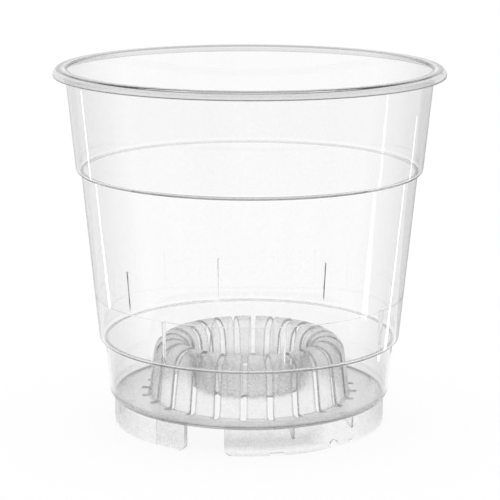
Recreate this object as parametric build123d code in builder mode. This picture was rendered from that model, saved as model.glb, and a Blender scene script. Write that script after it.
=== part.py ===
"""Clear orchid pot with a raised, slotted ring in its floor, parted at its own edges into named pieces."""

import math
import os

from build123d import *

os.makedirs("parts", exist_ok=True)

# Overall sizes, in millimetres
RIM_RADIUS = 60.0
HEIGHT = 111.0
WALL = 0.8

# Rim: a flat collar with a lip turned down at its edge
COLLAR_THICKNESS = 1.0
LIP_THICKNESS = 0.9
LIP_DROP = 2.5
RIM_EDGE_ROUND = 0.6
LIP_EDGE_ROUND = 0.25
RIM_JOINT_DROP = 1.6

# What the collar, the tapered walls and the shoulders each take off the radius, from the rim down
COLLAR_REACH = 3.6
UPPER_TAPER = 3.04
UPPER_STEP = 1.51
MIDDLE_TAPER = 5.08
LOWER_STEP = 1.7
LOWER_TAPER = 1.57

# Heights of the undersides of the two shoulders and of the floor
UPPER_SHOULDER_HEIGHT = 79.1
LOWER_SHOULDER_HEIGHT = 26.3
FOOT_HEIGHT = 7.8

# Hollow rounding of the shoulders, and how far a shoulder piece reaches up and down its walls
SHOULDER_ROUND = 0.35
SHOULDER_REACH_UP = 2.4
SHOULDER_REACH_DOWN = 0.9

# Hollow rounding from the wall to the floor, and how far the floor piece reaches up above it
FLOOR_ROUND = 4.0
FLOOR_REACH_UP = 0.6

# Raised ring in the floor: 24 bars between 24 slots
FLOOR_WIDTH = 9.5
SLOT_COUNT = 24
SLOT_WIDTH = 1.6
SLOT_ANGLE = -3.0
SLOT_OUTER_REACH = 9.7
SLOT_INNER_REACH = 7.9
CREST_TUBE_RADIUS = 5.7
RING_RISE = 17.6
RING_DRAFT = 7.0
PIT_RISE = 2.9
RING_ROUND_ABOVE = 0.9
RING_ROUND_BELOW = 0.5

# Feet: a skirt under the floor, parted by full-height drain notches; a pad thickens one end of each inside
FOOT_COUNT = 3
FOOT_INSET = 1.2
FOOT_THICKNESS = 1.1
FOOT_CENTRE_ANGLE = 41.45
NOTCH_SPAN = 17.2
FOOT_CORNER_ROUND = 2.0
FOOT_PAD_SPAN = 15.05
FOOT_PAD_THICKNESS = 0.9

# Small notches in a foot's lower edge: a shallow one, an arched one and a nick
SHALLOW_NOTCH_ANGLE = -30.0
SHALLOW_NOTCH_WIDTH = 4.3
SHALLOW_NOTCH_DEPTH = 0.7
ARCH_NOTCH_ANGLE = -4.0
ARCH_NOTCH_WIDTH = 2.9
ARCH_NOTCH_DEPTH = 2.5
NICK_ANGLE = 5.6
NICK_WIDTH = 1.5
NICK_DEPTH = 1.1

# Gussets: fins that brace the feet against the underside of the floor
GUSSET_ANGLES = (-22.85, 7.15)
GUSSET_DROP = 3.4
GUSSET_THICKNESS = 1.0
GUSSET_REACH = 4.0
GUSSET_CLEARANCE = 0.08

# Stacking ribs: upright fins on the lower shoulder, inside
RIB_COUNT = 8
RIB_ANGLE = 12.6
RIB_WIDTH = 1.1
RIB_REACH = 1.17
RIB_TOP_HEIGHT = 40.6
RIB_EDGE_ROUND = 0.25

# Angles above are counted from the front of the pot, which faces -Y, towards +X
FRONT = -90.0

UPPER_TOP_RADIUS = RIM_RADIUS - COLLAR_REACH
UPPER_BOTTOM_RADIUS = UPPER_TOP_RADIUS - UPPER_TAPER
MIDDLE_TOP_RADIUS = UPPER_BOTTOM_RADIUS - UPPER_STEP
MIDDLE_BOTTOM_RADIUS = MIDDLE_TOP_RADIUS - MIDDLE_TAPER
LOWER_TOP_RADIUS = MIDDLE_BOTTOM_RADIUS - LOWER_STEP
LOWER_BOTTOM_RADIUS = LOWER_TOP_RADIUS - LOWER_TAPER
SLOT_OUTER_RADIUS = LOWER_BOTTOM_RADIUS - FLOOR_WIDTH
CREST_RADIUS = SLOT_OUTER_RADIUS - SLOT_OUTER_REACH
SLOT_INNER_RADIUS = CREST_RADIUS - SLOT_INNER_REACH
FOOT_OUTER_RADIUS = LOWER_BOTTOM_RADIUS - FOOT_INSET
RIB_INNER_RADIUS = MIDDLE_BOTTOM_RADIUS - RIB_REACH
LIP_INNER_RADIUS = RIM_RADIUS - LIP_THICKNESS
FLOOR_TOP = FOOT_HEIGHT + WALL
FLOOR_JOINT_HEIGHT = FLOOR_TOP + FLOOR_ROUND + FLOOR_REACH_UP
COLLAR_UNDERSIDE = HEIGHT - COLLAR_THICKNESS
RIM_JOINT_HEIGHT = HEIGHT - RIM_JOINT_DROP


def tapered(top_radius, top_height, bottom_radius, bottom_height, height):
    """Radius of a straight tapered wall at a height."""
    share = (height - bottom_height) / (top_height - bottom_height)
    return bottom_radius + share * (top_radius - bottom_radius)


def upper_radius(height):
    return tapered(UPPER_TOP_RADIUS, COLLAR_UNDERSIDE, UPPER_BOTTOM_RADIUS, UPPER_SHOULDER_HEIGHT, height)


def middle_radius(height):
    return tapered(
        MIDDLE_TOP_RADIUS, UPPER_SHOULDER_HEIGHT, MIDDLE_BOTTOM_RADIUS, LOWER_SHOULDER_HEIGHT, height
    )


def lower_radius(height):
    return tapered(LOWER_TOP_RADIUS, LOWER_SHOULDER_HEIGHT, LOWER_BOTTOM_RADIUS, FOOT_HEIGHT, height)


def round_corner(profile, radius, height, size):
    """Rounds the corner of the profile that lies nearest to a radius and a height."""
    fillet(profile.vertices().sort_by_distance((radius, height))[0], radius=size)


# Half section of the whole moulding outside the slotted ring
upper_ledge = UPPER_SHOULDER_HEIGHT + WALL
lower_ledge = LOWER_SHOULDER_HEIGHT + WALL
mouth = (upper_radius(HEIGHT) - WALL, HEIGHT)
upper_inside = (upper_radius(upper_ledge) - WALL, upper_ledge)
upper_ledge_edge = (middle_radius(upper_ledge) - WALL, upper_ledge)
middle_inside = (middle_radius(lower_ledge) - WALL, lower_ledge)
lower_ledge_edge = (lower_radius(lower_ledge) - WALL, lower_ledge)
floor_inside = (lower_radius(FLOOR_TOP) - WALL, FLOOR_TOP)
with BuildSketch(Plane.XZ) as shell_profile:
    with BuildLine():
        Polyline(
            (UPPER_TOP_RADIUS, COLLAR_UNDERSIDE),
            (UPPER_BOTTOM_RADIUS, UPPER_SHOULDER_HEIGHT),
            (MIDDLE_TOP_RADIUS, UPPER_SHOULDER_HEIGHT),
            (MIDDLE_BOTTOM_RADIUS, LOWER_SHOULDER_HEIGHT),
            (LOWER_TOP_RADIUS, LOWER_SHOULDER_HEIGHT),
            (LOWER_BOTTOM_RADIUS, FOOT_HEIGHT),
            (SLOT_OUTER_RADIUS, FOOT_HEIGHT),
            (SLOT_OUTER_RADIUS, FLOOR_TOP),
            floor_inside,
            lower_ledge_edge,
            middle_inside,
            upper_ledge_edge,
            upper_inside,
            mouth,
            (RIM_RADIUS, HEIGHT),
            (RIM_RADIUS, HEIGHT - LIP_DROP),
            (LIP_INNER_RADIUS, HEIGHT - LIP_DROP),
            (LIP_INNER_RADIUS, COLLAR_UNDERSIDE),
            close=True,
        )
    make_face()
    for radius, height in (
        (UPPER_BOTTOM_RADIUS, UPPER_SHOULDER_HEIGHT),
        (MIDDLE_BOTTOM_RADIUS, LOWER_SHOULDER_HEIGHT),
        upper_ledge_edge,
        lower_ledge_edge,
    ):
        round_corner(shell_profile, radius, height, SHOULDER_ROUND + WALL)
    for radius, height in (
        (MIDDLE_TOP_RADIUS, UPPER_SHOULDER_HEIGHT),
        (LOWER_TOP_RADIUS, LOWER_SHOULDER_HEIGHT),
        upper_inside,
        middle_inside,
    ):
        round_corner(shell_profile, radius, height, SHOULDER_ROUND)
    round_corner(shell_profile, LOWER_BOTTOM_RADIUS, FOOT_HEIGHT, FLOOR_ROUND + WALL)
    round_corner(shell_profile, *floor_inside, FLOOR_ROUND)
    for radius, height in (mouth, (RIM_RADIUS, HEIGHT)):
        round_corner(shell_profile, radius, height, RIM_EDGE_ROUND)
    for radius, height in (
        (RIM_RADIUS, HEIGHT - LIP_DROP),
        (LIP_INNER_RADIUS, HEIGHT - LIP_DROP),
        (LIP_INNER_RADIUS, COLLAR_UNDERSIDE),
    ):
        round_corner(shell_profile, radius, height, LIP_EDGE_ROUND)

with BuildPart() as shell:
    add(shell_profile.sketch)
    revolve(axis=Axis.Z)

# Half section of all the room inside the outer face of the lower wall and floor
with BuildSketch(Plane.XZ) as body_profile:
    with BuildLine():
        Polyline(
            (0, FOOT_HEIGHT),
            (LOWER_BOTTOM_RADIUS, FOOT_HEIGHT),
            (LOWER_TOP_RADIUS, LOWER_SHOULDER_HEIGHT),
            (0, LOWER_SHOULDER_HEIGHT),
            close=True,
        )
    make_face()
    round_corner(body_profile, LOWER_BOTTOM_RADIUS, FOOT_HEIGHT, FLOOR_ROUND + WALL)


def band(low, high, outside):
    """Half section of the moulding between two heights, out to a radius."""
    with BuildSketch(Plane.XZ) as piece:
        add(shell_profile.sketch_local)
        with Locations((outside / 2, (low + high) / 2)):
            Rectangle(outside, high - low, mode=Mode.INTERSECT)
    return piece.sketch


# Rim
gap_middle = (UPPER_TOP_RADIUS + LIP_INNER_RADIUS) / 2
with BuildSketch(Plane.XZ) as rim_profile:
    add(shell_profile.sketch_local)
    with Locations((gap_middle / 2, RIM_JOINT_HEIGHT / 2)):
        Rectangle(gap_middle, RIM_JOINT_HEIGHT, mode=Mode.SUBTRACT)
    with Locations((SLOT_OUTER_RADIUS + gap_middle / 2, 0)):
        Rectangle(RIM_RADIUS, UPPER_SHOULDER_HEIGHT, mode=Mode.SUBTRACT)
with BuildPart() as rim:
    add(rim_profile.sketch)
    revolve(axis=Axis.Z)
rim.part.label = "rim"
export_step(rim.part, "parts/rim.step")

# Upper wall
with BuildPart() as upper_wall:
    add(band(UPPER_SHOULDER_HEIGHT + SHOULDER_REACH_UP, RIM_JOINT_HEIGHT, gap_middle))
    revolve(axis=Axis.Z)
upper_wall.part.label = "upper_wall"
export_step(upper_wall.part, "parts/upper_wall.step")

# Upper shoulder
with BuildPart() as upper_shoulder:
    add(
        band(
            UPPER_SHOULDER_HEIGHT - SHOULDER_REACH_DOWN,
            UPPER_SHOULDER_HEIGHT + SHOULDER_REACH_UP,
            gap_middle,
        )
    )
    revolve(axis=Axis.Z)
upper_shoulder.part.label = "upper_shoulder"
export_step(upper_shoulder.part, "parts/upper_shoulder.step")

# Middle wall
with BuildPart() as middle_wall:
    add(
        band(
            LOWER_SHOULDER_HEIGHT + SHOULDER_REACH_UP,
            UPPER_SHOULDER_HEIGHT - SHOULDER_REACH_DOWN,
            gap_middle,
        )
    )
    revolve(axis=Axis.Z)
middle_wall.part.label = "middle_wall"
export_step(middle_wall.part, "parts/middle_wall.step")

# Lower shoulder
with BuildPart() as lower_shoulder:
    add(
        band(
            LOWER_SHOULDER_HEIGHT - SHOULDER_REACH_DOWN,
            LOWER_SHOULDER_HEIGHT + SHOULDER_REACH_UP,
            gap_middle,
        )
    )
    revolve(axis=Axis.Z)
lower_shoulder.part.label = "lower_shoulder"
export_step(lower_shoulder.part, "parts/lower_shoulder.step")

# Lower wall
with BuildPart() as lower_wall:
    add(
        band(
            FLOOR_JOINT_HEIGHT,
            LOWER_SHOULDER_HEIGHT - SHOULDER_REACH_DOWN,
            gap_middle,
        )
    )
    revolve(axis=Axis.Z)
lower_wall.part.label = "lower_wall"
export_step(lower_wall.part, "parts/lower_wall.step")

# Floor, with the rounding up into the wall
with BuildPart() as floor:
    add(band(0, FLOOR_JOINT_HEIGHT, gap_middle))
    revolve(axis=Axis.Z)
floor.part.label = "floor"
export_step(floor.part, "parts/floor.step")

# Stacking ribs
rib_foot = LOWER_SHOULDER_HEIGHT + WALL / 2
for number in range(1, RIB_COUNT + 1):
    angle = FRONT + RIB_ANGLE + (number - 1) * 360 / RIB_COUNT
    with BuildPart() as stacking_rib:
        with BuildSketch(Plane.XZ.rotated((0, 0, angle))):
            with BuildLine():
                Polyline(
                    (RIB_INNER_RADIUS, rib_foot),
                    (middle_radius(rib_foot) - WALL / 2, rib_foot),
                    (middle_radius(RIB_TOP_HEIGHT) - WALL / 2, RIB_TOP_HEIGHT),
                    (RIB_INNER_RADIUS, RIB_TOP_HEIGHT),
                    close=True,
                )
            make_face()
        extrude(amount=RIB_WIDTH / 2, both=True)
        add(shell.part, mode=Mode.SUBTRACT)
        inner_edges = stacking_rib.edges().filter_by(Axis.Z)
        fillet(inner_edges, radius=RIB_EDGE_ROUND)
    stacking_rib.part.label = f"stacking_rib_{number}"
    export_step(stacking_rib.part, f"parts/stacking_rib_{number}.step")

# Half section of one bar of the slotted ring: toe, outer side, crest, inner side and heel
draft = math.radians(RING_DRAFT)
crest_height = FLOOR_TOP + RING_RISE - CREST_TUBE_RADIUS
pit_top = FLOOR_TOP + PIT_RISE


def ring_side(tube_radius, height, side):
    """Radius at a height of the drafted side that runs down from the round crest."""
    turn_height = crest_height + tube_radius * math.sin(draft)
    out = tube_radius * math.cos(draft) + (turn_height - height) * math.tan(draft)
    return CREST_RADIUS + side * out


def crest_point(tube_radius, side):
    """Where the round crest runs into one of its sides."""
    return (
        CREST_RADIUS + side * tube_radius * math.cos(draft),
        crest_height + tube_radius * math.sin(draft),
    )


above = CREST_TUBE_RADIUS
below = CREST_TUBE_RADIUS - WALL
toe_above = (ring_side(above, FLOOR_TOP, 1), FLOOR_TOP)
toe_below = (ring_side(below, FOOT_HEIGHT, 1), FOOT_HEIGHT)
heel_above = (ring_side(above, pit_top, -1), pit_top)
heel_below = (ring_side(below, pit_top - WALL, -1), pit_top - WALL)
with BuildSketch(Plane.XZ) as bar_profile:
    with BuildLine():
        Polyline((SLOT_OUTER_RADIUS, FLOOR_TOP), toe_above, crest_point(above, 1))
        ThreePointArc(crest_point(above, 1), (CREST_RADIUS, crest_height + above), crest_point(above, -1))
        Polyline(
            crest_point(above, -1),
            heel_above,
            (SLOT_INNER_RADIUS, pit_top),
            (SLOT_INNER_RADIUS, pit_top - WALL),
            heel_below,
            crest_point(below, -1),
        )
        ThreePointArc(crest_point(below, -1), (CREST_RADIUS, crest_height + below), crest_point(below, 1))
        Polyline(
            crest_point(below, 1),
            toe_below,
            (SLOT_OUTER_RADIUS, FOOT_HEIGHT),
            (SLOT_OUTER_RADIUS, FLOOR_TOP),
        )
    make_face()
    for radius, height in (toe_above, heel_above):
        round_corner(bar_profile, radius, height, RING_ROUND_ABOVE)
    for radius, height in (toe_below, heel_below):
        round_corner(bar_profile, radius, height, RING_ROUND_BELOW)

# One bar, from the middle of one slot to the middle of the next, less half of each slot
slot_pitch = 360 / SLOT_COUNT
with BuildPart() as bar_form:
    add(bar_profile.sketch)
    revolve(axis=Axis.Z, revolution_arc=slot_pitch)
    for edge_angle in (0, slot_pitch):
        with Locations(Rotation(0, 0, edge_angle)):
            Box(
                2 * RIM_RADIUS,
                SLOT_WIDTH,
                2 * HEIGHT,
                mode=Mode.SUBTRACT,
            )

# Slot bars
for number in range(1, SLOT_COUNT + 1):
    angle = FRONT + SLOT_ANGLE + (number - 1) * slot_pitch
    with BuildPart() as slot_bar:
        with Locations(Rotation(0, 0, angle)):
            add(bar_form.part)
    slot_bar.part.label = f"slot_bar_{number:02d}"
    export_step(slot_bar.part, f"parts/slot_bar_{number:02d}.step")

# Centre disc, the floor of the pit
with BuildPart() as centre_disc:
    with Locations((0, 0, pit_top - WALL / 2)):
        Cylinder(SLOT_INNER_RADIUS, WALL)
centre_disc.part.label = "centre_disc"
export_step(centre_disc.part, "parts/centre_disc.step")

# Half section of a foot, from the ground up to the rounded underside of the floor
foot_inner = FOOT_OUTER_RADIUS - FOOT_THICKNESS
with BuildSketch(Plane.XZ) as foot_profile:
    with Locations((foot_inner + FOOT_THICKNESS / 2, FLOOR_JOINT_HEIGHT / 2)):
        Rectangle(FOOT_THICKNESS, FLOOR_JOINT_HEIGHT)
    add(body_profile.sketch_local, mode=Mode.SUBTRACT)

# Pad for the end of a foot, with the foot's rounded corner
with BuildSketch(Plane.XZ) as pad_profile:
    with Locations((foot_inner - FOOT_PAD_THICKNESS / 2, FLOOR_JOINT_HEIGHT / 2)):
        Rectangle(FOOT_PAD_THICKNESS, FLOOR_JOINT_HEIGHT)
    add(body_profile.sketch_local, mode=Mode.SUBTRACT)
with BuildPart() as pad:
    add(revolve(pad_profile.sketch, axis=Axis.Z, revolution_arc=FOOT_PAD_SPAN, mode=Mode.PRIVATE))
    pad_corners = pad.edges().filter_by(GeomType.LINE).filter_by(Plane.XY).group_by(Axis.Z)[0]
    fillet(pad_corners.sort_by(Axis.Y)[-1], radius=FOOT_CORNER_ROUND)

# Feet
foot_span = 360 / FOOT_COUNT - NOTCH_SPAN
notch_length = 4 * FOOT_THICKNESS
arch_spring = ARCH_NOTCH_DEPTH - ARCH_NOTCH_WIDTH / 2
for number in range(1, FOOT_COUNT + 1):
    centre = FRONT + FOOT_CENTRE_ANGLE + (number - 1) * 360 / FOOT_COUNT
    with BuildPart() as foot:
        with Locations(Rotation(0, 0, centre - foot_span / 2)):
            add(revolve(foot_profile.sketch, axis=Axis.Z, revolution_arc=foot_span, mode=Mode.PRIVATE))
        bottom_corners = foot.edges().filter_by(GeomType.LINE).filter_by(Plane.XY).group_by(Axis.Z)[0]
        fillet(bottom_corners, radius=FOOT_CORNER_ROUND)
        with Locations(Rotation(0, 0, centre + foot_span / 2 - FOOT_PAD_SPAN)):
            add(pad.part)
        for angle, width, depth in (
            (SHALLOW_NOTCH_ANGLE, SHALLOW_NOTCH_WIDTH, SHALLOW_NOTCH_DEPTH),
            (ARCH_NOTCH_ANGLE, ARCH_NOTCH_WIDTH, arch_spring),
            (NICK_ANGLE, NICK_WIDTH, NICK_DEPTH),
        ):
            with Locations(Rotation(0, 0, centre + angle)):
                with Locations((FOOT_OUTER_RADIUS, 0, 0)):
                    Box(notch_length, width, 2 * depth, mode=Mode.SUBTRACT)
        with Locations(Rotation(0, 0, centre + ARCH_NOTCH_ANGLE)):
            with Locations((FOOT_OUTER_RADIUS, 0, arch_spring)):
                Cylinder(ARCH_NOTCH_WIDTH / 2, notch_length, rotation=(0, 90, 0), mode=Mode.SUBTRACT)
    foot.part.label = f"foot_{number}"
    export_step(foot.part, f"parts/foot_{number}.step")

# Gussets, behind each foot
with BuildSketch(Plane.XZ) as gusset_profile:
    with BuildLine():
        Polyline(
            (foot_inner - GUSSET_REACH, FOOT_HEIGHT),
            (foot_inner - GUSSET_REACH, FLOOR_TOP),
            (FOOT_OUTER_RADIUS, FLOOR_JOINT_HEIGHT),
            (FOOT_OUTER_RADIUS, FOOT_HEIGHT - GUSSET_DROP),
            (foot_inner, FOOT_HEIGHT - GUSSET_DROP),
            close=True,
        )
    make_face()
    add(body_profile.sketch_local, mode=Mode.SUBTRACT)
gusset_number = 0
for foot_number in range(FOOT_COUNT):
    centre = FRONT + FOOT_CENTRE_ANGLE + foot_number * 360 / FOOT_COUNT
    for angle in GUSSET_ANGLES:
        gusset_number += 1
        with BuildPart() as gusset:
            with Locations(Rotation(0, 0, centre + angle)):
                add(extrude(gusset_profile.sketch, amount=GUSSET_THICKNESS / 2, both=True, mode=Mode.PRIVATE))
            Cylinder(foot_inner - GUSSET_CLEARANCE, 2 * HEIGHT, mode=Mode.INTERSECT)
            add(shell.part, mode=Mode.SUBTRACT)
        gusset.part.label = f"gusset_{gusset_number}"
        export_step(gusset.part, f"parts/gusset_{gusset_number}.step")
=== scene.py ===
import math
from types import SimpleNamespace

import bmesh
import bpy
from mathutils import Matrix, Vector


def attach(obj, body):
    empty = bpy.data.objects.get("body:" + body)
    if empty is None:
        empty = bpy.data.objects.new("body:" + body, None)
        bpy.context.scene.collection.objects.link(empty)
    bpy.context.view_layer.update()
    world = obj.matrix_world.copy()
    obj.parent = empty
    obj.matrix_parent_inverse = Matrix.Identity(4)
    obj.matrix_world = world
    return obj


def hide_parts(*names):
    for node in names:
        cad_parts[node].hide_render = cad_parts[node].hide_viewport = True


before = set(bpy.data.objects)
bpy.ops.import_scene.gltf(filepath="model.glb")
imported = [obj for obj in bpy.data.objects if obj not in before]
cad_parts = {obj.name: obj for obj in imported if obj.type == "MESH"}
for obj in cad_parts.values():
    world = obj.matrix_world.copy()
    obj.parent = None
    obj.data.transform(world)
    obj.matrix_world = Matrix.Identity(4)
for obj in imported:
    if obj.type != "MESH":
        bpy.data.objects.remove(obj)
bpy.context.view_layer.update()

MM = 0.001
FRONT = -90.0

# Sizes of the pot in millimetres and degrees, as in the solids
RIM_RADIUS = 60.0
HEIGHT = 111.0
WALL = 0.8

# Rim
COLLAR_THICKNESS = 1.0
COLLAR_REACH = 3.6
LIP_THICKNESS = 0.9
LIP_DROP = 2.5
RIM_EDGE_ROUND = 0.6
LIP_EDGE_ROUND = 0.25

# Walls and shoulders, from the rim down
UPPER_TAPER = 3.04
UPPER_STEP = 1.51
MIDDLE_TAPER = 5.08
LOWER_STEP = 1.7
LOWER_TAPER = 1.57
UPPER_SHOULDER_HEIGHT = 79.1
LOWER_SHOULDER_HEIGHT = 26.3
SHOULDER_ROUND = 0.35
FOOT_HEIGHT = 7.8

# Floor and slotted ring
FLOOR_WIDTH = 9.5
SLOT_COUNT = 24
SLOT_ANGLE = -3.0
SLOT_OUTER_REACH = 9.7
SLOT_INNER_REACH = 7.9
CREST_TUBE_RADIUS = 5.7
RING_RISE = 17.6
RING_DRAFT = math.radians(7.0)
PIT_RISE = 2.9
RING_ROUND_ABOVE = 0.9
RING_ROUND_BELOW = 0.5

# Feet, the small notches in them, their pads and fins
FOOT_COUNT = 3
FOOT_INSET = 1.2
FOOT_THICKNESS = 1.1
FOOT_CENTRE_ANGLE = 41.45
NOTCH_SPAN = 17.2
FOOT_CORNER_ROUND = 2.0
SHALLOW_NOTCH_ANGLE = -30.0
SHALLOW_NOTCH_WIDTH = 4.3
SHALLOW_NOTCH_DEPTH = 0.7
ARCH_NOTCH_ANGLE = -4.0
ARCH_NOTCH_WIDTH = 2.9
ARCH_NOTCH_DEPTH = 2.5
NICK_ANGLE = 5.6
NICK_WIDTH = 1.5
NICK_DEPTH = 1.1
FOOT_PAD_SPAN = 15.05
FOOT_PAD_THICKNESS = 0.9
GUSSET_ANGLES = (-22.85, 7.15)
GUSSET_DROP = 3.4
GUSSET_REACH = 4.0

# Stacking ribs
RIB_COUNT = 8
RIB_ANGLE = 12.6
RIB_REACH = 1.17
RIB_TOP_HEIGHT = 40.6

# Sizes that only the scene has, or that differ a little from the solids, set against the photograph
RIM_CROWN_ROUND = 1.8
LEDGE_EDGE_ROUND = 0.15
FLOOR_ROUND = 2.2
SLOT_WIDTH = 1.85
GUSSET_THICKNESS = 0.75
GUSSET_TOE = 0.1
RIB_WIDTH = 0.75
RIB_FOOT_HEIGHT = 30.3
RIB_EDGE = 0.2

# The clear wall and the frosted floor meet at this radius, just inside the curve up to the wall
SEAM_RADIUS = 40.3
SEAM_GAP = 0.02

# Hairlines part the feet and fins from the plastic above them, and a foot from its pad
ROOT_GAP = 0.02
PAD_GAP = 0.03

# The mould's core leaves a fine groove inside the wall at the height of the rib tops
GROOVE_DEPTH = 0.04
GROOVE_HEIGHT = 0.14

# Sizes that follow from the ones above
UPPER_TOP_RADIUS = RIM_RADIUS - COLLAR_REACH
UPPER_BOTTOM_RADIUS = UPPER_TOP_RADIUS - UPPER_TAPER
MIDDLE_TOP_RADIUS = UPPER_BOTTOM_RADIUS - UPPER_STEP
MIDDLE_BOTTOM_RADIUS = MIDDLE_TOP_RADIUS - MIDDLE_TAPER
LOWER_TOP_RADIUS = MIDDLE_BOTTOM_RADIUS - LOWER_STEP
LOWER_BOTTOM_RADIUS = LOWER_TOP_RADIUS - LOWER_TAPER
COLLAR_UNDERSIDE = HEIGHT - COLLAR_THICKNESS
LIP_FOOT = HEIGHT - LIP_DROP
LIP_INNER_RADIUS = RIM_RADIUS - LIP_THICKNESS
UPPER_LEDGE = UPPER_SHOULDER_HEIGHT + WALL
LOWER_LEDGE = LOWER_SHOULDER_HEIGHT + WALL
FLOOR_TOP = FOOT_HEIGHT + WALL
PIT_TOP = FLOOR_TOP + PIT_RISE
CREST_HEIGHT = FLOOR_TOP + RING_RISE - CREST_TUBE_RADIUS
SLOT_OUTER_RADIUS = LOWER_BOTTOM_RADIUS - FLOOR_WIDTH
CREST_RADIUS = SLOT_OUTER_RADIUS - SLOT_OUTER_REACH
SLOT_INNER_RADIUS = CREST_RADIUS - SLOT_INNER_REACH
RIB_INNER_RADIUS = MIDDLE_BOTTOM_RADIUS - RIB_REACH
FOOT_OUTER_RADIUS = LOWER_BOTTOM_RADIUS - FOOT_INSET
FOOT_INNER_RADIUS = FOOT_OUTER_RADIUS - FOOT_THICKNESS
FOOT_PITCH = 360 / FOOT_COUNT
FOOT_HALF_SPAN = (FOOT_PITCH - NOTCH_SPAN) / 2
FOOT_ARC_PER_DEGREE = math.radians(1) * FOOT_OUTER_RADIUS
FOOT_CORNER_SPAN = FOOT_CORNER_ROUND / FOOT_ARC_PER_DEGREE

# How finely round stretches and straight runs are divided
BULGE_STEPS = 10
ROUND_STEPS = 6
FLOOR_STEPS = 16
LIP_STEPS = 5
CROWN_STEPS = 14
MOUTH_STEPS = 8
CREST_STEPS = 24
RING_ROUND_STEPS = 5
ROOT_STEPS = 4
CORNER_STEPS = 8
ARCH_STEPS = 12
PAD_STEPS = 8
LOWER_RUN = 6
MIDDLE_RUN = 12
UPPER_RUN = 8
RIM_RUN = 3
RIB_RUN = 7
FLOOR_RUN = 4
BAR_COLUMNS = 6
COLUMNS_BETWEEN_RIBS = 44

# Steps over which the painted shade on the bend of a bulge fades out at its upper end
BULGE_SHADE_FADE = 2

# Columns across a rib, as shares of half its width, and degrees from its middle to the first plain column
RIB_PLACES = (-1.0, -0.92, -0.7, -0.38, 0.0, 0.38, 0.7, 0.92, 1.0)
RIB_MARGIN = 1.2

# Radii of the rings of points on the floor of the pit
PIT_RINGS = (12.0, 8.0, 4.0, 1.0)

# Degrees between plain stations along a foot, and what is kept free at its corners and notches
STATION_STEP = 1.5
STATION_START = 1.0
STATION_END = 0.5
STATION_CLEARANCE = 0.4
NOTCH_SIDE = 1e-4

# Loops of points this close to each end of a straight run keep its shading flat
GUARD = 0.12

# Faces that meet at more than this many degrees have a hard edge, and points this close in metres are one
SHARP_ANGLE = 28
WELD = 1e-7


def tapered(top, top_z, bottom, bottom_z, z):
    return bottom + (z - bottom_z) / (top_z - bottom_z) * (top - bottom)


def upper_r(z):
    return tapered(UPPER_TOP_RADIUS, COLLAR_UNDERSIDE, UPPER_BOTTOM_RADIUS, UPPER_SHOULDER_HEIGHT, z)


def middle_r(z):
    return tapered(MIDDLE_TOP_RADIUS, UPPER_SHOULDER_HEIGHT, MIDDLE_BOTTOM_RADIUS, LOWER_SHOULDER_HEIGHT, z)


def lower_r(z):
    return tapered(LOWER_TOP_RADIUS, LOWER_SHOULDER_HEIGHT, LOWER_BOTTOM_RADIUS, FOOT_HEIGHT, z)


def rounded(before, corner, after, radius, steps):
    """Points of the arc that rounds a corner between two straight runs."""
    c = Vector(corner)
    u = (Vector(before) - c).normalized()
    v = (Vector(after) - c).normalized()
    half = u.angle(v) / 2
    middle = c + (u + v).normalized() * (radius / math.sin(half))
    start = c + u * (radius / math.tan(half)) - middle
    end = c + v * (radius / math.tan(half)) - middle
    turn = start.angle_signed(end)
    points = []
    for k in range(steps + 1):
        a = -turn * k / steps
        x = middle.x + start.x * math.cos(a) - start.y * math.sin(a)
        y = middle.y + start.x * math.sin(a) + start.y * math.cos(a)
        points.append((x, y))
    return points


def between(a, b, share):
    """The point a share of the way from one point to another."""
    return (a[0] + share * (b[0] - a[0]), a[1] + share * (b[1] - a[1]))


def run(a, b, count):
    """Points strictly between two points, with one close to each end."""
    length = math.dist(a, b)
    shares = [GUARD / length] + [k / (count - 1) for k in range(1, count - 1)] + [1 - GUARD / length]
    return [between(a, b, share) for share in shares]


def joined(first, *others):
    """Arcs and points in a row. Each later one comes with the count of points in the run before it."""
    path = list(first)
    for count, part in others:
        path += run(path[-1], part[0], count) if count else []
        path += part
    return path


def at(r, z, angle, offset=0.0):
    """A point at a radius and height, at an angle in degrees, moved sideways by an offset in millimetres."""
    a = math.radians(angle) + math.asin(offset / r)
    return (r * math.cos(a) * MM, r * math.sin(a) * MM, z * MM)


def to_object(name, bm):
    bmesh.ops.recalc_face_normals(bm, faces=bm.faces)
    mesh = bpy.data.meshes.new(name)
    bm.to_mesh(mesh)
    bm.free()
    obj = bpy.data.objects.new(name, mesh)
    bpy.context.scene.collection.objects.link(obj)
    return obj


def shade(obj):
    """Smooth shading, with hard edges where faces meet at a sharp angle."""
    mesh = obj.data
    mesh.polygons.foreach_set("use_smooth", [True] * len(mesh.polygons))
    mesh.set_sharp_from_angle(angle=math.radians(SHARP_ANGLE))
    return obj


def loft(name, sections):
    """A closed mesh through sections of equally many points, with both ends capped."""
    bm = bmesh.new()
    rows = [[bm.verts.new(point) for point in section] for section in sections]
    for one, two in zip(rows, rows[1:]):
        for i in range(len(one)):
            m = (i + 1) % len(one)
            bm.faces.new((one[i], two[i], two[m], one[m]))
    bm.faces.new(rows[0])
    bm.faces.new(list(reversed(rows[-1])))
    return to_object(name, bm)


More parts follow.
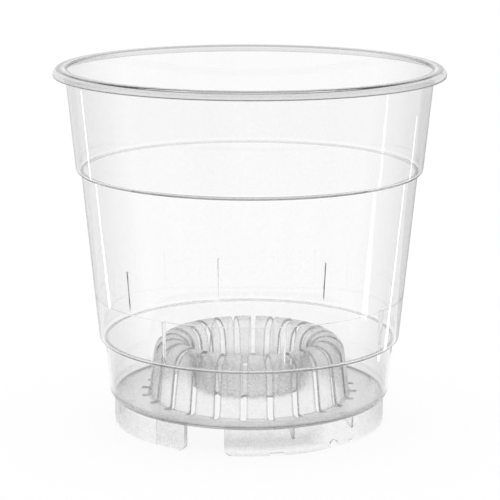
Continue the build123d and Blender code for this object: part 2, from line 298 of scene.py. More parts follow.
def clear_profile():
    """Closed half section of the clear wall, the same through the middle of a rib, and where it bends, as
    the share of painted shade on the bulges.
    """
    # Corners of the outside, from the collar down
    collar_out = (UPPER_TOP_RADIUS, COLLAR_UNDERSIDE)
    upper_bulge = (UPPER_BOTTOM_RADIUS, UPPER_SHOULDER_HEIGHT)
    middle_out = (MIDDLE_TOP_RADIUS, UPPER_SHOULDER_HEIGHT)
    lower_bulge = (MIDDLE_BOTTOM_RADIUS, LOWER_SHOULDER_HEIGHT)
    lower_out = (LOWER_TOP_RADIUS, LOWER_SHOULDER_HEIGHT)
    floor_out = (LOWER_BOTTOM_RADIUS, FOOT_HEIGHT)
    seam_low = (SEAM_RADIUS, FOOT_HEIGHT)

    # Corners of the rim, and of the inside from the mouth down
    collar_in = (LIP_INNER_RADIUS, COLLAR_UNDERSIDE)
    lip_in = (LIP_INNER_RADIUS, LIP_FOOT)
    lip_out = (RIM_RADIUS, LIP_FOOT)
    rim_top = (RIM_RADIUS, HEIGHT)
    mouth = (upper_r(HEIGHT) - WALL, HEIGHT)
    upper_in = (upper_r(UPPER_LEDGE) - WALL, UPPER_LEDGE)
    upper_edge = (middle_r(UPPER_LEDGE) - WALL, UPPER_LEDGE)
    middle_in = (middle_r(LOWER_LEDGE) - WALL, LOWER_LEDGE)
    lower_edge = (lower_r(LOWER_LEDGE) - WALL, LOWER_LEDGE)
    floor_in = (lower_r(FLOOR_TOP) - WALL, FLOOR_TOP)
    seam_high = (SEAM_RADIUS, FLOOR_TOP)

    # Where a rib stands, and the groove at the height of its top
    rib_wall = (middle_r(RIB_TOP_HEIGHT) - WALL, RIB_TOP_HEIGHT)
    rib_ledge = (RIB_INNER_RADIUS, LOWER_LEDGE)
    groove_deep = (rib_wall[0] + GROOVE_DEPTH, RIB_TOP_HEIGHT + GROOVE_HEIGHT / 2)
    groove_top = RIB_TOP_HEIGHT + GROOVE_HEIGHT
    groove_high = (middle_r(groove_top) - WALL, groove_top)

    inner_round = RIM_CROWN_ROUND - LIP_THICKNESS
    bulge_round = SHOULDER_ROUND + WALL
    bulges = (
        rounded(lower_out, lower_bulge, middle_out, bulge_round, BULGE_STEPS),
        rounded(middle_out, upper_bulge, collar_out, bulge_round, BULGE_STEPS),
    )
    outer = joined(
        [seam_low],
        (0, rounded(seam_low, floor_out, lower_out, FLOOR_ROUND + WALL, FLOOR_STEPS)),
        (LOWER_RUN, rounded(floor_out, lower_out, lower_bulge, SHOULDER_ROUND, ROUND_STEPS)),
        (0, bulges[0]),
        (MIDDLE_RUN, rounded(lower_bulge, middle_out, upper_bulge, SHOULDER_ROUND, ROUND_STEPS)),
        (0, bulges[1]),
        (UPPER_RUN, [collar_out]),
        (RIM_RUN, rounded(collar_out, collar_in, lip_in, inner_round, ROUND_STEPS)),
        (0, rounded(collar_in, lip_in, lip_out, LIP_EDGE_ROUND, LIP_STEPS)),
        (0, rounded(lip_in, lip_out, rim_top, LIP_EDGE_ROUND, LIP_STEPS)),
        (RIM_RUN, rounded(lip_out, rim_top, mouth, RIM_CROWN_ROUND, CROWN_STEPS)),
    )
    above = joined(
        rounded(rim_top, mouth, upper_in, RIM_EDGE_ROUND, MOUTH_STEPS),
        (UPPER_RUN, rounded(mouth, upper_in, upper_edge, SHOULDER_ROUND, ROUND_STEPS)),
        (0, rounded(upper_in, upper_edge, middle_in, LEDGE_EDGE_ROUND, ROUND_STEPS)),
        (MIDDLE_RUN, [groove_high]),
        (0, [groove_deep]),
    )
    corner = rounded(rib_wall, middle_in, rib_ledge, SHOULDER_ROUND, ROUND_STEPS)
    behind_rib = run(rib_wall, corner[0], RIB_RUN)
    below = joined(
        [rib_ledge],
        (0, rounded(rib_ledge, lower_edge, floor_in, LEDGE_EDGE_ROUND, ROUND_STEPS)),
        (LOWER_RUN, rounded(lower_edge, floor_in, seam_high, FLOOR_ROUND, FLOOR_STEPS)),
        (0, [seam_high]),
    )
    plain = outer + above + [rib_wall] + behind_rib + corner + below

    # A rib takes the points behind it and carries them inwards
    rib_from = len(outer) + len(above)
    ribbed = list(plain)
    ribbed[rib_from + 1] = (RIB_INNER_RADIUS + RIB_EDGE, RIB_TOP_HEIGHT)
    top = RIB_TOP_HEIGHT - RIB_EDGE
    last = len(behind_rib)
    for k in range(2, last + 1):
        share = (k - 2) / (last - 2)
        ribbed[rib_from + k] = (RIB_INNER_RADIUS, top + share * (RIB_FOOT_HEIGHT - top))

    # Painted shade on the bend of each bulge: full over most of it, fading out at its upper end
    bend = [0.0] * len(plain)
    for bulge in bulges:
        for k, point in enumerate(bulge):
            bend[plain.index(point)] = min(1.0, max(0.0, (BULGE_STEPS - 1 - k) / BULGE_SHADE_FADE))
    return plain, ribbed, bend


def make_clear_shell():
    """Rim, walls, shoulders and ribs in one closed mesh, turned round the pot's axis."""
    plain, ribbed, bend = clear_profile()
    pitch = 360 / RIB_COUNT
    columns = []
    for n in range(RIB_COUNT):
        angle = FRONT + RIB_ANGLE + n * pitch
        for place in RIB_PLACES:
            share = math.sqrt(1 - place**2)
            path = [between(bare, raised, share) for bare, raised in zip(plain, ribbed)]
            columns.append((path, angle, place * RIB_WIDTH / 2))
        for k in range(COLUMNS_BETWEEN_RIBS + 1):
            turn = RIB_MARGIN + (pitch - 2 * RIB_MARGIN) * k / COLUMNS_BETWEEN_RIBS
            columns.append((plain, angle + turn, 0.0))
    bm = bmesh.new()
    rib = bm.verts.layers.float.new("rib")
    # The bend layer carries the painted shade on the bulges
    bent = bm.verts.layers.float.new("bend")
    grid = [[bm.verts.new(at(r, z, angle, offset)) for r, z in path] for path, angle, offset in columns]
    for (path, _, _), column in zip(columns, grid):
        for v, here, bare, share in zip(column, path, plain, bend):
            v[rib] = float(here != bare)
            v[bent] = share
    for j, column in enumerate(grid):
        beside = grid[(j + 1) % len(grid)]
        for i in range(len(plain)):
            m = (i + 1) % len(plain)
            bm.faces.new((column[i], beside[i], beside[m], column[m]))
    bmesh.ops.remove_doubles(bm, verts=bm.verts, dist=WELD)
    bmesh.ops.dissolve_degenerate(bm, edges=bm.edges, dist=WELD)
    return shade(to_object("clear_shell", bm))


def ring_side(tube, z, side):
    """Radius of the outer or inner side of the raised ring at a height."""
    turn = CREST_HEIGHT + tube * math.sin(RING_DRAFT)
    return CREST_RADIUS + side * (tube * math.cos(RING_DRAFT) + (turn - z) * math.tan(RING_DRAFT))


def floor_path(tube, floor_z, pit_z, fillet):
    """Half section of one face of the floor, from the seam in to the middle, and the two slot ends in it."""
    seam = (SEAM_RADIUS - SEAM_GAP, floor_z)
    toe_end = (SLOT_OUTER_RADIUS, floor_z)
    toe = (ring_side(tube, floor_z, 1), floor_z)
    heel = (ring_side(tube, pit_z, -1), pit_z)
    heel_end = (SLOT_INNER_RADIUS, pit_z)
    crest = []
    for k in range(CREST_STEPS + 1):
        a = RING_DRAFT + (math.pi - 2 * RING_DRAFT) * k / CREST_STEPS
        crest.append((CREST_RADIUS + tube * math.cos(a), CREST_HEIGHT + tube * math.sin(a)))
    path = [seam] + run(seam, toe_end, FLOOR_RUN)
    first = len(path)
    path += [toe_end]
    path += rounded(toe_end, toe, crest[0], fillet, RING_ROUND_STEPS)
    path += run(path[-1], crest[0], FLOOR_RUN) + crest
    heel_arc = rounded(crest[-1], heel, heel_end, fillet, RING_ROUND_STEPS)
    path += run(crest[-1], heel_arc[0], FLOOR_RUN) + heel_arc
    last = len(path)
    path += [heel_end]
    path += [(r, pit_z) for r in PIT_RINGS]
    return path, first, last


def make_floor():
    """Floor, slotted ring and pit floor in one closed mesh."""
    over, first, last = floor_path(CREST_TUBE_RADIUS, FLOOR_TOP, PIT_TOP, RING_ROUND_ABOVE)
    under, _, _ = floor_path(CREST_TUBE_RADIUS - WALL, FOOT_HEIGHT, PIT_TOP - WALL, RING_ROUND_BELOW)
    pitch = 360 / SLOT_COUNT
    bm = bmesh.new()
    edge = bm.verts.layers.float.new("edge")
    tops, lows, before_slot = [], [], []

    def bar_column(path, slot, share):
        """Points of a path at a share of the way across the bar that follows a slot."""
        verts = []
        for r, z in path:
            half = math.degrees(math.asin(SLOT_WIDTH / 2 / max(r, SLOT_INNER_RADIUS)))
            low, high = slot + half, slot + pitch - half
            verts.append(bm.verts.new(at(r, z, low + (high - low) * share)))
        return verts

    for n in range(SLOT_COUNT):
        slot = FRONT + SLOT_ANGLE + n * pitch
        for k in range(BAR_COLUMNS + 1):
            tops.append(bar_column(over, slot, k / BAR_COLUMNS))
            lows.append(bar_column(under, slot, k / BAR_COLUMNS))
            before_slot.append(k == BAR_COLUMNS)
    total = len(tops)
    for j in range(total):
        m = (j + 1) % total
        for i in range(len(over) - 1):
            if before_slot[j] and first <= i < last:
                bm.faces.new((tops[j][i], tops[j][i + 1], lows[j][i + 1], lows[j][i]))
                bm.faces.new((tops[m][i], lows[m][i], lows[m][i + 1], tops[m][i + 1]))
            else:
                bm.faces.new((tops[j][i], tops[m][i], tops[m][i + 1], tops[j][i + 1]))
                bm.faces.new((lows[j][i], lows[j][i + 1], lows[m][i + 1], lows[m][i]))
        bm.faces.new((tops[j][0], lows[j][0], lows[m][0], tops[m][0]))
        if before_slot[j]:
            bm.faces.new((tops[j][first], lows[j][first], lows[m][first], tops[m][first]))
            bm.faces.new((tops[j][last], tops[m][last], lows[m][last], lows[j][last]))
    bm.faces.new([column[-1] for column in tops])
    bm.faces.new([column[-1] for column in reversed(lows)])
    # Points along the sides of the slots carry the edge layer, where painted shade darkens the bars
    for j, (top, low) in enumerate(zip(tops, lows)):
        if before_slot[j] or before_slot[j - 1]:
            for v in top[first : last + 1] + low[first : last + 1]:
                v[edge] = 1.0
    return shade(to_object("frosted_floor", bm))


def underside(r):
    """Height of the underside of the floor, and of the rounding that runs up from it, at a radius."""
    radius = FLOOR_ROUND + WALL
    z = FOOT_HEIGHT + radius
    slope = math.atan((LOWER_TOP_RADIUS - LOWER_BOTTOM_RADIUS) / (LOWER_SHOULDER_HEIGHT - FOOT_HEIGHT))
    out = r - (lower_r(z) - radius / math.cos(slope))
    return FOOT_HEIGHT if out <= 0 else z - math.sqrt(radius**2 - out**2)


def root(start, end):
    """Points a hairline under the floor, from one radius to another."""
    radii = [start + (end - start) * k / ROOT_STEPS for k in range(ROOT_STEPS + 1)]
    return [(r, underside(r) - ROOT_GAP) for r in radii]


def foot_angle(number):
    return FRONT + FOOT_CENTRE_ANGLE + number * FOOT_PITCH


def foot_stations():
    """Angles along a foot from its middle, each with the height of the lower edge there."""
    stations = []
    for k in range(CORNER_STEPS + 1):
        a = k / CORNER_STEPS * math.pi / 2
        inward = FOOT_CORNER_SPAN * (1 - math.cos(a))
        z = FOOT_CORNER_ROUND * (1 - math.sin(a))
        stations += [(-FOOT_HALF_SPAN + inward, z), (FOOT_HALF_SPAN - inward, z)]
    taken = []
    for middle, width, depth in (
        (SHALLOW_NOTCH_ANGLE, SHALLOW_NOTCH_WIDTH, SHALLOW_NOTCH_DEPTH),
        (NICK_ANGLE, NICK_WIDTH, NICK_DEPTH),
    ):
        half = width / 2 / FOOT_ARC_PER_DEGREE
        taken.append((middle - half, middle + half))
        stations += [(middle - half - NOTCH_SIDE, 0.0), (middle - half + NOTCH_SIDE, depth)]
        stations += [(middle + half - NOTCH_SIDE, depth), (middle + half + NOTCH_SIDE, 0.0)]
    arch = ARCH_NOTCH_WIDTH / 2
    half = arch / FOOT_ARC_PER_DEGREE
    taken.append((ARCH_NOTCH_ANGLE - half, ARCH_NOTCH_ANGLE + half))
    stations += [(ARCH_NOTCH_ANGLE - half - NOTCH_SIDE, 0.0), (ARCH_NOTCH_ANGLE + half + NOTCH_SIDE, 0.0)]
    for k in range(ARCH_STEPS + 1):
        a = math.pi * k / ARCH_STEPS
        z = ARCH_NOTCH_DEPTH - arch + arch * math.sin(a)
        stations.append((ARCH_NOTCH_ANGLE - half * math.cos(a), z))
    plain = FOOT_HALF_SPAN - FOOT_CORNER_SPAN
    a = STATION_START - plain
    while a < plain - STATION_END:
        if all(a < low - STATION_CLEARANCE or a > high + STATION_CLEARANCE for low, high in taken):
            stations.append((a, 0.0))
        a += STATION_STEP
    return sorted(stations)


def make_foot(number):
    """One foot as a closed mesh that ends a hairline below the floor."""
    sections = []
    for a, low in foot_stations():
        outline = [(FOOT_INNER_RADIUS, low), (FOOT_OUTER_RADIUS, low)]
        outline += root(FOOT_OUTER_RADIUS, FOOT_INNER_RADIUS)
        sections.append([at(r, z, foot_angle(number) + a) for r, z in outline])
    return loft(f"foot_solid_{number}", sections)


def make_pad(number):
    """The pad that thickens one end of a foot on its inside, as a closed mesh of its own."""
    outer = FOOT_INNER_RADIUS - PAD_GAP
    inner = FOOT_INNER_RADIUS - FOOT_PAD_THICKNESS
    end = foot_angle(number) + FOOT_HALF_SPAN
    straight = FOOT_PAD_SPAN - FOOT_CORNER_SPAN
    stations = [(FOOT_PAD_SPAN - straight * k / PAD_STEPS, 0.0) for k in range(PAD_STEPS)]
    for k in range(CORNER_STEPS + 1):
        a = k / CORNER_STEPS * math.pi / 2
        stations.append((FOOT_CORNER_SPAN * (1 - math.sin(a)), FOOT_CORNER_ROUND * (1 - math.cos(a))))
    sections = []
    for back, low in stations:
        outline = [(inner, low), (outer, low)] + root(outer, inner)
        sections.append([at(r, z, end - back) for r, z in outline])
    return loft(f"pad_solid_{number}", sections)


def make_gusset(number, angle):
    """One fin, from half-way into its foot to a toe under the floor."""
    outer = FOOT_INNER_RADIUS + FOOT_THICKNESS / 2
    toe = FOOT_INNER_RADIUS - GUSSET_REACH
    outline = root(toe, outer)
    outline += [
        (outer, FOOT_HEIGHT - GUSSET_DROP),
        (FOOT_INNER_RADIUS, FOOT_HEIGHT - GUSSET_DROP),
        (toe, FOOT_HEIGHT - GUSSET_TOE),
    ]
    half = GUSSET_THICKNESS / 2
    sections = [[at(r, z, angle, offset) for r, z in outline] for offset in (-half, half)]
    return loft(f"gusset_solid_{number}", sections)


def fuse(name, solids):
    """Fuses closed meshes into one piece, so that no face is left inside the plastic."""
    base, others = solids[0], solids[1:]
    base.name = name
    group = bpy.data.collections.new("fused")
    for o in others:
        for c in o.users_collection:
            c.objects.unlink(o)
        group.objects.link(o)
    mod = base.modifiers.new("fuse", "BOOLEAN")
    mod.operation = "UNION"
    mod.solver = "EXACT"
    mod.operand_type = "COLLECTION"
    mod.collection = group
    graph = bpy.context.evaluated_depsgraph_get()
    fused = bpy.data.meshes.new_from_object(base.evaluated_get(graph))
    fused.name = name
    base.modifiers.clear()
    base.data = fused
    for o in others:
        bpy.data.objects.remove(o)
    bpy.data.collections.remove(group)
    return shade(base)


def make_feet():
    """All feet with their pads and fins, fused into one piece."""
    skirt = [make_foot(n) for n in range(FOOT_COUNT)]
    skirt += [make_pad(n) for n in range(FOOT_COUNT)]
    for n in range(FOOT_COUNT):
        for offset in GUSSET_ANGLES:
            skirt.append(make_gusset(len(skirt), foot_angle(n) + offset))
    return fuse("frosted_feet", skirt)


class Tree:
    """The nodes of one material or world, with short calls for what is made often."""

    def __init__(self, owner):
        owner.use_nodes = True
        self.nodes = owner.node_tree.nodes
        self.links = owner.node_tree.links

    def feed(self, socket, value):
        """Links a socket to another one, or sets it to a constant."""
        if isinstance(value, bpy.types.NodeSocket):
            self.links.new(value, socket)
        else:
            socket.default_value = value

    def add(self, kind, inputs, **settings):
        """A new node, with its settings and with its inputs by name or number."""
        node = self.nodes.new("ShaderNode" + kind)
        for name, value in settings.items():
            setattr(node, name, value)
        for key, value in inputs.items():
            self.feed(node.inputs[key], value)
        return node

    def spread(self, source, ends, low=0.0, high=1.0, interpolation="LINEAR"):
        """A value that goes from low to high while its source goes from one end to the other."""
        inputs = {"Value": source, "From Min": ends[0], "From Max": ends[1], "To Min": low, "To Max": high}
        return self.add("MapRange", inputs, interpolation_type=interpolation).outputs["Result"]

    def span(self, length, ends, low=0.0, high=1.0):
        """The same for a length of the pot, with the two ends in millimetres."""
        return self.spread(length, (ends[0] * MM, ends[1] * MM), low, high)

    def tint(self, mask, strength):
        """A factor that is 1 outside a mask and goes down to a strength inside it."""
        return self.spread(mask, (0.0, 1.0), 1.0, strength)

    def math(self, operation, *values):
        return self.add("Math", dict(enumerate(values)), operation=operation).outputs["Value"]

    def product(self, first, *others):
        for other in others:
            first = self.math("MULTIPLY", first, other)
        return first

    def attribute(self, name):
        return self.add("Attribute", {}, attribute_name=name).outputs["Fac"]

    def noise(self, place, scale, detail, roughness):
        inputs = {"Vector": place, "Scale": scale, "Detail": detail, "Roughness": roughness}
        return self.add("TexNoise", inputs).outputs["Fac"]

    def bump(self, height, strength, distance):
        inputs = {"Strength": strength, "Distance": distance, "Height": height}
        return self.add("Bump", inputs).outputs["Normal"]

    def grey(self, value):
        """A colour with the same value in its three channels."""
        return self.add("CombineColor", {"Red": value, "Green": value, "Blue": value}).outputs["Color"]

    def ramp(self, value, stops):
        """A grey that follows stops, each a position and its grey."""
        node = self.add("ValToRGB", {"Fac": value})
        ramp = node.color_ramp
        while len(ramp.elements) < len(stops):
            ramp.elements.new(0.5)
        for element, (position, grey) in zip(ramp.elements, stops):
            element.position = position
            element.color = (grey, grey, grey, 1)
        return node.outputs["Color"]

    def surface(self):
        """Sockets that say where on the pot a point lies and how its face is turned."""
        place = self.add("TexCoord", {}).outputs["Object"]
        split = self.add("SeparateXYZ", {"Vector": place}).outputs
        flat = self.add("Mapping", {"Vector": place, "Scale": (1.0, 1.0, 0.0)}).outputs["Vector"]
        face = self.add("NewGeometry", {}).outputs
        normal = self.add("SeparateXYZ", {"Vector": face["Normal"]}).outputs
        return SimpleNamespace(
            place=place,
            x=split["X"],
            height=split["Z"],
            radius=self.add("VectorMath", {0: flat}, operation="LENGTH").outputs["Value"],
            level=self.math("ABSOLUTE", normal["Z"]),
            facing=self.add("LayerWeight", {"Blend": 0.5}).outputs["Facing"],
            from_inside=face["Backfacing"],
        )


# Both plastics. A noise has a scale, detail and roughness, and most of it lies in the middle range
PLASTIC_IOR = 1.49
GRAIN = (1400.0, 3.0, 0.6)
CLOUD = (420.0, 4.0, 0.5)
FLOW = (90.0, 4.0, 0.5)
FLOW_STRETCH = (1.0, 1.0, 0.08)
NOISE_MIDDLE = (0.3, 0.7)

# Clear wall. Pairs are the two ends of a soft step, and lengths are in millimetres
WALL_LEVEL = (0.25, 0.5)
WALL_RIB = (0.0, 0.5)
# Painted shade: upright faces of the wall are painted darker where they are seen along
WALL_FACING = (0.28, 0.66)
WALL_SIDE_SHADE = 0.81
HAZE_HEIGHT = (78.0, 80.0)
HAZE_BELOW = 0.996
HAZE_ABOVE = 0.978
MOTTLE_TINT = 0.98
SPECK_RANGE = (0.3, 0.6)
SPECK_TINT = 0.97
LEDGE_CLEAR = (1.0, 2.2)
# Painted shade: a dark line painted on the bend of each bulge where a face is met from outside
BULGE_SHADE = 0.13

# Rim, with painted shade on its crown, mouth and top, on the lip and along the lip's lower edge
CROWN_HEIGHT = (HEIGHT - 0.35, HEIGHT - 0.15)
CROWN_RADIUS = (57.0, 58.0)
CROWN_FACING = (0.25, 0.6)
CROWN_FACED = 0.3
CROWN_SHADE = 0.2
MOUTH_HEIGHT = (HEIGHT - 0.7, HEIGHT - 0.4)
MOUTH_RADIUS = (UPPER_TOP_RADIUS, UPPER_TOP_RADIUS - 0.3)
MOUTH_SHADE = 0.4
TOP_HEIGHT = (HEIGHT - 0.3, HEIGHT - 0.05)
TOP_FACING = (0.55, 0.88)
TOP_SHADE = 0.55
LIP_RADIUS = (57.2, 57.6)
LIP_SHADE = 0.83
LIP_EDGE_HEIGHT = (LIP_FOOT + 0.28, LIP_FOOT + 0.48)
LIP_EDGE_SHADE = 0.8
LIP_FACE_RADIUS = (RIM_RADIUS - 0.5, RIM_RADIUS - 0.3)
LIP_LINE_SHADE = 0.13

# Foot of the clear wall, which is frosted as the floor is, with painted shade in the crease over the feet
FROST_HEIGHT = (10.4, 11.2)
FROST_SPECKLE = (0.86, 1.02)
FROST_ROUGHNESS = 0.24
CREASE_HEIGHT = (FLOOR_TOP - 0.2, FLOOR_TOP)
CREASE_RADIUS = (41.4, 41.8)
CREASE_SHADE = 0.16

# Gloss of the clear plastic
POLISH_RANGE = (0.35, 0.75)
POLISH_ROUGHNESS = (0.01, 0.05)
FLOW_BUMP = (0.03, 0.0004)

# Frosted plastic, with painted shade where upright faces are seen along and along the sides of the slots
FROSTED_CLOUD = (0.94, 1.05)
FROSTED_SPECKLE = (0.90, 1.11)
FROSTED_ROUGHNESS = (0.16, 0.30)
FROSTED_BUMP = (0.10, 0.0001)
FROSTED_LEVEL = (0.6, 0.9)
FROSTED_FACING = (0.4, 0.9)
FROSTED_SIDE_SHADE = 0.7
SLOT_FALLOFF = 3.0
SLOT_SHADE = 0.6

# Bands of painted shade up the outside of a foot, as a share of its height and a grey, which fade to the
# left and right
FOOT_SHADE_BANDS = ((0.0, 0.6), (0.05, 0.8), (0.17, 1.0), (0.4, 0.58), (0.62, 0.54), (0.85, 0.72), (1.0, 0.8))
FOOT_BAND_RADIUS = (41.7, 42.1)
BAND_LEFT = (-20.0, -5.0)
BAND_LEFT_FADE = 0.92
BAND_RIGHT = (8.0, 24.0)
BAND_RIGHT_FADE = 0.97


def new_plastic(name):
    """A see-through material with its nodes and its shader."""
    material = bpy.data.materials.new(name)
    tree = Tree(material)
    shader = tree.nodes["Principled BSDF"]
    shader.inputs["Transmission Weight"].default_value = 1.0
    shader.inputs["IOR"].default_value = PLASTIC_IOR
    return material, tree, shader


def wall_haze_and_shade(tree, point, outside, flow, grain):
    """The wall: painted shade where it is seen along and on the bends of the bulges, with flow marks and
    specks, and no haze at the ledges.
    """
    upright = tree.product(
        tree.spread(point.level, WALL_LEVEL, 1.0, 0.0),
        tree.spread(tree.attribute("rib"), WALL_RIB, 1.0, 0.0),
    )
    # Painted shade on upright faces seen along
    along = tree.product(tree.spread(point.facing, WALL_FACING), upright)
    haze = tree.product(
        tree.span(point.height, HAZE_HEIGHT, HAZE_BELOW, HAZE_ABOVE),
        tree.spread(flow, NOISE_MIDDLE, MOTTLE_TINT, 1.0),
        tree.spread(grain, SPECK_RANGE, SPECK_TINT, 1.0),
    )
    for shoulder in (LOWER_SHOULDER_HEIGHT, UPPER_SHOULDER_HEIGHT):
        away = tree.math("ABSOLUTE", tree.math("SUBTRACT", point.height, (shoulder + WALL / 2) * MM))
        haze = tree.math("MAXIMUM", haze, tree.span(away, LEDGE_CLEAR, 1.0, 0.0))
    # Painted shade on the bends of the bulges, on faces met from outside
    bulge = tree.product(tree.attribute("bend"), outside)
    return tree.product(tree.tint(along, WALL_SIDE_SHADE), haze, tree.tint(bulge, BULGE_SHADE))


def painted_rim_shade(tree, point, outside):
    """Painted shade on the rim: its crown, its mouth, its top where it is seen along, and the lip with its
    lower edge.
    """
    crown = tree.product(
        tree.span(point.height, CROWN_HEIGHT),
        tree.spread(point.facing, CROWN_FACING, CROWN_FACED, 1.0),
        tree.span(point.radius, CROWN_RADIUS),
    )
    mouth = tree.product(tree.span(point.height, MOUTH_HEIGHT), tree.span(point.radius, MOUTH_RADIUS))
    top = tree.product(tree.spread(point.facing, TOP_FACING), tree.span(point.height, TOP_HEIGHT))
    lip = tree.span(point.radius, LIP_RADIUS)
    low = tree.product(outside, tree.span(point.height, LIP_EDGE_HEIGHT, 1.0, 0.0))
    lip_face = tree.span(point.radius, LIP_FACE_RADIUS)
    return tree.product(
        tree.tint(crown, CROWN_SHADE),
        tree.tint(mouth, MOUTH_SHADE),
        tree.tint(top, TOP_SHADE),
        tree.tint(lip, LIP_SHADE),
        tree.tint(tree.product(lip, low), LIP_EDGE_SHADE),
        tree.tint(tree.product(lip_face, low), LIP_LINE_SHADE),
    )


def foot_speckle_and_shade(tree, point, grain, frosted):
    """The frosted foot of the wall with its speckle, and painted shade in the crease under it."""
    speckle = tree.spread(grain, NOISE_MIDDLE, *FROST_SPECKLE)
    foot = tree.math("MAXIMUM", speckle, tree.math("SUBTRACT", 1.0, frosted))
    # Painted shade in the crease where the floor meets the wall
    crease = tree.span(point.height, CREASE_HEIGHT, CREASE_SHADE, 1.0)
    crease = tree.math("MAXIMUM", crease, tree.span(point.radius, CREASE_RADIUS, 1.0, 0.0))
    return tree.product(foot, crease)


def clear_plastic():
    """Polished clear plastic with flow marks, with painted shade where it is seen along, on the bulges, in
    the rim and in the crease, and frosted at the foot.
    """
    material, tree, shader = new_plastic("clear_plastic")
    point = tree.surface()
    stretched = tree.add("Mapping", {"Vector": point.place, "Scale": FLOW_STRETCH}).outputs["Vector"]
    flow = tree.noise(stretched, *FLOW)
    grain = tree.noise(point.place, *GRAIN)
    outside = tree.math("SUBTRACT", 1.0, point.from_inside)
    frosted = tree.span(point.height, FROST_HEIGHT, 1.0, 0.0)
    grey = tree.product(
        wall_haze_and_shade(tree, point, outside, flow, grain),
        painted_rim_shade(tree, point, outside),
        foot_speckle_and_shade(tree, point, grain, frosted),
    )
    polish = tree.spread(flow, POLISH_RANGE, *POLISH_ROUGHNESS)
    frost = tree.product(frosted, FROST_ROUGHNESS)
    tree.feed(shader.inputs["Base Color"], tree.grey(grey))
    tree.feed(shader.inputs["Roughness"], tree.math("ADD", polish, frost))
    tree.feed(shader.inputs["Normal"], tree.bump(flow, *FLOW_BUMP))
    return material


def foot_shade_bands(tree, point):
    """Bands of painted shade up the outside of the feet, which the rest of the frosted plastic doesn't have.
    """
    bands = tree.ramp(tree.span(point.height, (0.0, FOOT_HEIGHT)), FOOT_SHADE_BANDS)
    inside = tree.span(point.radius, FOOT_BAND_RADIUS, 1.0, 0.0)
    left = tree.span(point.x, BAND_LEFT, BAND_LEFT_FADE, 0.0)
    right = tree.span(point.x, BAND_RIGHT, 0.0, BAND_RIGHT_FADE)
    pale = tree.math("MAXIMUM", left, right)
    return tree.math("MAXIMUM", bands, tree.math("MAXIMUM", inside, pale))


def frosted_plastic():
    """Spark-eroded, see-through plastic: a fine grain, with painted shade along the slots, where it is seen
    along and in bands across the feet.
    """
    material, tree, shader = new_plastic("frosted_plastic")
    point = tree.surface()
    grain = tree.noise(point.place, *GRAIN)
    cloud = tree.noise(point.place, *CLOUD)
    # Painted shade along the sides of the slots
    slot_shade = tree.math("POWER", tree.attribute("edge"), SLOT_FALLOFF)
    # Painted shade on upright faces seen along
    upright = tree.spread(point.level, FROSTED_LEVEL, 1.0, 0.0)
    along = tree.product(tree.spread(point.facing, FROSTED_FACING), upright)
    grey = tree.product(
        tree.spread(cloud, NOISE_MIDDLE, *FROSTED_CLOUD),
        tree.spread(grain, NOISE_MIDDLE, *FROSTED_SPECKLE),
        tree.tint(slot_shade, SLOT_SHADE),
        foot_shade_bands(tree, point),
        tree.tint(along, FROSTED_SIDE_SHADE),
    )
    tree.feed(shader.inputs["Base Color"], tree.grey(grey))
    tree.feed(shader.inputs["Roughness"], tree.spread(grain, NOISE_MIDDLE, *FROSTED_ROUGHNESS))
    tree.feed(shader.inputs["Normal"], tree.bump(grain, *FROSTED_BUMP))
    return material


# The pot: three pieces that stand for all the solids
clear_shell = make_clear_shell()
frosted_floor = make_floor()
frosted_feet = make_feet()
clear, frosted = clear_plastic(), frosted_plastic()
for piece, material, slot in (
    (clear_shell, clear, "clear_plastic"),
    (frosted_floor, frosted, "frosted_plastic"),
    (frosted_feet, frosted, "frosted_plastic"),
):
    piece.data.materials.clear()
    piece.data.materials.append(material)
    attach(piece, "root")

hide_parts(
    "rim",
    "upper_wall",
    "upper_shoulder",
    "middle_wall",
    "lower_shoulder",
    "lower_wall",
    *[f"stacking_rib_{n}" for n in range(1, RIB_COUNT + 1)],
)
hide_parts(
    "floor",
    "centre_disc",
    *[f"slot_bar_{n:02d}" for n in range(1, SLOT_COUNT + 1)],
)
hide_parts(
    *[f"foot_{n}" for n in range(1, FOOT_COUNT + 1)],
    *[f"gusset_{n}" for n in range(1, FOOT_COUNT * len(GUSSET_ANGLES) + 1)],
)

# Studio in metres. A share of the floor's white is a glow, and the rest is shading that takes the shadow
FLOOR_RADIUS = 6.0
FLOOR_SIDES = 96
FLOOR_COLOUR = (0.86, 0.86, 0.86, 1)
FLOOR_GLOW = 1.05
FLOOR_GLOW_SHARE = 0.85
TENT_COLOUR = (1, 1, 1, 1)

# The opening of the tent, by direction: its fade from the front, and where it starts and ends going up
OPENING_FRONT = (-1.0, 0.0)
OPENING_START = (0.0, 0.4)
OPENING_END = (0.2, 0.9)

# Grey cards on the floor: degrees from +Y where each starts and ends, and its grey
CARDS = (
    ("card_left", -46.0, -8.0, 0.72),
    ("card_right", 8.0, 50.0, 0.45),
)
CARD_NEAR = 0.09
CARD_FAR = 1.2
CARD_STEPS = 12
CARD_HEIGHT = 0.001

# Strip lamps on the floor: centre, bearing in degrees, length and width, and power in watts
STRIPS = (
    ("strip_left", (-0.2785, 0.170), 140.0, (0.38, 0.009), 0.05),
    ("strip_right", (0.310, -0.012), 3.6, (0.36, 0.014), 0.035),
    ("strip_edge", (0.2300, 0.1432), 41.8, (0.38, 0.007), 0.03),
)
STRIP_HEIGHT = 0.002

# Camera: as fitted to the ring lines of the photograph
CAMERA_SIDE = 0.0002
CAMERA_DISTANCE = 0.6138
CAMERA_HEIGHT = 0.18694
CAMERA_PITCH = 12.271
CAMERA_ROLL = 0.14
FOCAL_PIXELS = 2017.6
FRAME_PIXELS = 500
SENSOR_WIDTH = 36.0
CLIP_START = 0.01
CLIP_END = 50.0

# Light runs far along the inside of a clear wall before it leaves it
ALL_BOUNCES = 48
CLEAR_BOUNCES = 32


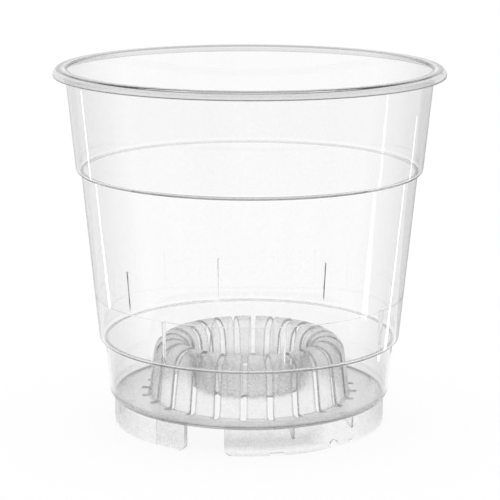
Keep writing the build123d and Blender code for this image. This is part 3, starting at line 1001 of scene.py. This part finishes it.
def floor_material():
    """White to the eye and in reflections, with a share of its own shading for the shadow."""
    material = bpy.data.materials.new("studio_floor")
    tree = Tree(material)
    tree.nodes.clear()
    white = tree.add("BsdfDiffuse", {"Color": FLOOR_COLOUR}).outputs["BSDF"]
    glow = tree.add("Emission", {"Strength": FLOOR_GLOW}).outputs["Emission"]
    rays = tree.add("LightPath", {}).outputs
    shown = tree.math("MAXIMUM", rays["Is Camera Ray"], rays["Is Transmission Ray"])
    shown = tree.math("MAXIMUM", shown, rays["Is Glossy Ray"])
    share = tree.product(shown, FLOOR_GLOW_SHARE)
    mix = tree.add("MixShader", {"Fac": share, 1: white, 2: glow}).outputs["Shader"]
    tree.add("OutputMaterial", {"Surface": mix})
    return material


def make_studio_floor():
    bpy.ops.mesh.primitive_circle_add(
        vertices=FLOOR_SIDES, radius=FLOOR_RADIUS, fill_type="NGON", location=(0, 0, 0)
    )
    floor = bpy.context.object
    floor.name = "studio_floor"
    floor.data.materials.append(floor_material())


def make_world():
    """A white tent that is open, and so darker, low down on the side of the camera."""
    world = bpy.data.worlds.new("studio")
    bpy.context.scene.world = world
    tree = Tree(world)
    tree.nodes.clear()
    direction = tree.add("TexCoord", {}).outputs["Generated"]
    split = tree.add("SeparateXYZ", {"Vector": direction}).outputs
    front = tree.spread(split["Y"], OPENING_FRONT, 1.0, 0.0, "SMOOTHSTEP")
    start = tree.spread(split["Z"], OPENING_START, 0.0, 1.0, "SMOOTHSTEP")
    end = tree.spread(split["Z"], OPENING_END, 1.0, 0.0, "SMOOTHSTEP")
    level = tree.math("SUBTRACT", 1.0, tree.product(front, start, end))
    tent = tree.add("Background", {"Color": TENT_COLOUR, "Strength": level}).outputs["Background"]
    tree.add("OutputWorld", {"Surface": tent})


def strip_light(name, centre, bearing, size, power):
    """A strip lamp, face up on the floor, that shows only as a bright line in the sides of the pot."""
    data = bpy.data.lights.new(name, "AREA")
    data.shape = "RECTANGLE"
    data.size, data.size_y = size
    data.energy = power
    obj = bpy.data.objects.new(name, data)
    bpy.context.scene.collection.objects.link(obj)
    obj.location = (*centre, STRIP_HEIGHT)
    obj.rotation_euler = (math.pi, 0, math.radians(bearing))
    obj.visible_camera = obj.visible_transmission = obj.visible_diffuse = False


def side_card(name, start, end, grey):
    """A grey card on the floor behind one side of the pot that shows only in its reflections."""
    bm = bmesh.new()
    rows = []
    for k in range(CARD_STEPS + 1):
        a = math.radians(start + (end - start) * k / CARD_STEPS)
        ends = [(r * math.sin(a), r * math.cos(a), CARD_HEIGHT) for r in (CARD_NEAR, CARD_FAR)]
        rows.append([bm.verts.new(point) for point in ends])
    for one, two in zip(rows, rows[1:]):
        bm.faces.new((one[0], two[0], two[1], one[1]))
    card = to_object(name, bm)
    material = bpy.data.materials.new(name)
    tree = Tree(material)
    tree.nodes.clear()
    glow = tree.add("Emission", {"Color": (grey, grey, grey, 1)}).outputs["Emission"]
    tree.add("OutputMaterial", {"Surface": glow})
    card.data.materials.append(material)
    card.visible_camera = card.visible_transmission = card.visible_diffuse = card.visible_shadow = False


def make_camera():
    data = bpy.data.cameras.new("camera")
    data.sensor_width = SENSOR_WIDTH
    data.sensor_fit = "HORIZONTAL"
    data.lens = FOCAL_PIXELS / FRAME_PIXELS * SENSOR_WIDTH
    data.clip_start = CLIP_START
    data.clip_end = CLIP_END
    camera = bpy.data.objects.new("camera", data)
    bpy.context.scene.collection.objects.link(camera)
    camera.location = (CAMERA_SIDE, -CAMERA_DISTANCE, CAMERA_HEIGHT)
    tilt = Matrix.Rotation(math.radians(90 - CAMERA_PITCH), 4, "X")
    roll = Matrix.Rotation(math.radians(CAMERA_ROLL), 4, "Z")
    camera.rotation_euler = (tilt @ roll).to_euler()
    bpy.context.scene.camera = camera


make_studio_floor()
make_world()
for card in CARDS:
    side_card(*card)
for strip in STRIPS:
    strip_light(*strip)
make_camera()
bpy.context.scene.view_settings.view_transform = "Standard"
bpy.context.scene.cycles.max_bounces = ALL_BOUNCES
bpy.context.scene.cycles.glossy_bounces = CLEAR_BOUNCES
bpy.context.scene.cycles.transmission_bounces = CLEAR_BOUNCES
